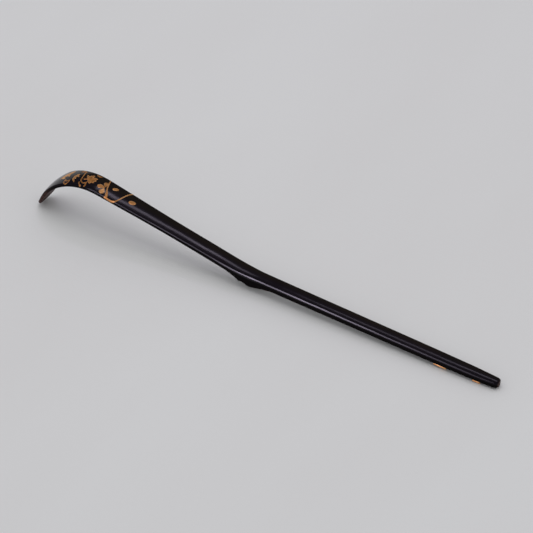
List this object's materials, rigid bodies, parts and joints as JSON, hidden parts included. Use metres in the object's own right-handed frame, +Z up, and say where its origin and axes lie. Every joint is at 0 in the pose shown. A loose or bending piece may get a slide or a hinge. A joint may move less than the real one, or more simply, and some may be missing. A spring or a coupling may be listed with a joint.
{
  "type": "tea scoop",
  "caption": "Slim black-lacquered bamboo tea scoop with an arched blade, a joint ridge under the middle and a raised gold floral spray on its back.",
  "frame": {"origin": "on the table that the scoop lies on, under the middle of its bounding box", "axes": "+Z up with the scoop lying face down, +X along the scoop from the blade's tip towards the handle's tail, -Y the side whose lower edge has the two gold marks"},
  "size_m": [0.1736, 0.0092, 0.0179],
  "materials": {
    "bamboo": "plain bamboo strip, straight grain, hidden under the coats",
    "ground": "matt reddish-brown lacquer ground, worn through at the blade's edges",
    "lacquer": "polished black lacquer with a faint brown tint, fine brushing and worn edges",
    "gold": "sprinkled gold powder over raised lacquer, satin, slightly rubbed"
  },
  "bodies": {
    "root": {"bamboo_core": "bamboo", "ground_coat": "ground", "lacquer_coat": "lacquer", "gold_lower_bud": "gold", "gold_upper_bud": "gold", "gold_lower_vine": "gold", "gold_upper_vine": "gold", "gold_blossom": "gold", "gold_leaf": "gold", "gold_edge_leaf": "gold", "gold_tendril": "gold", "gold_curl": "gold", "gold_small_leaf": "gold", "gold_loop": "gold", "gold_arch_leaf": "gold", "gold_edge_spray": "gold", "gold_edge_bud": "gold"}
  },
  "joints": []
}
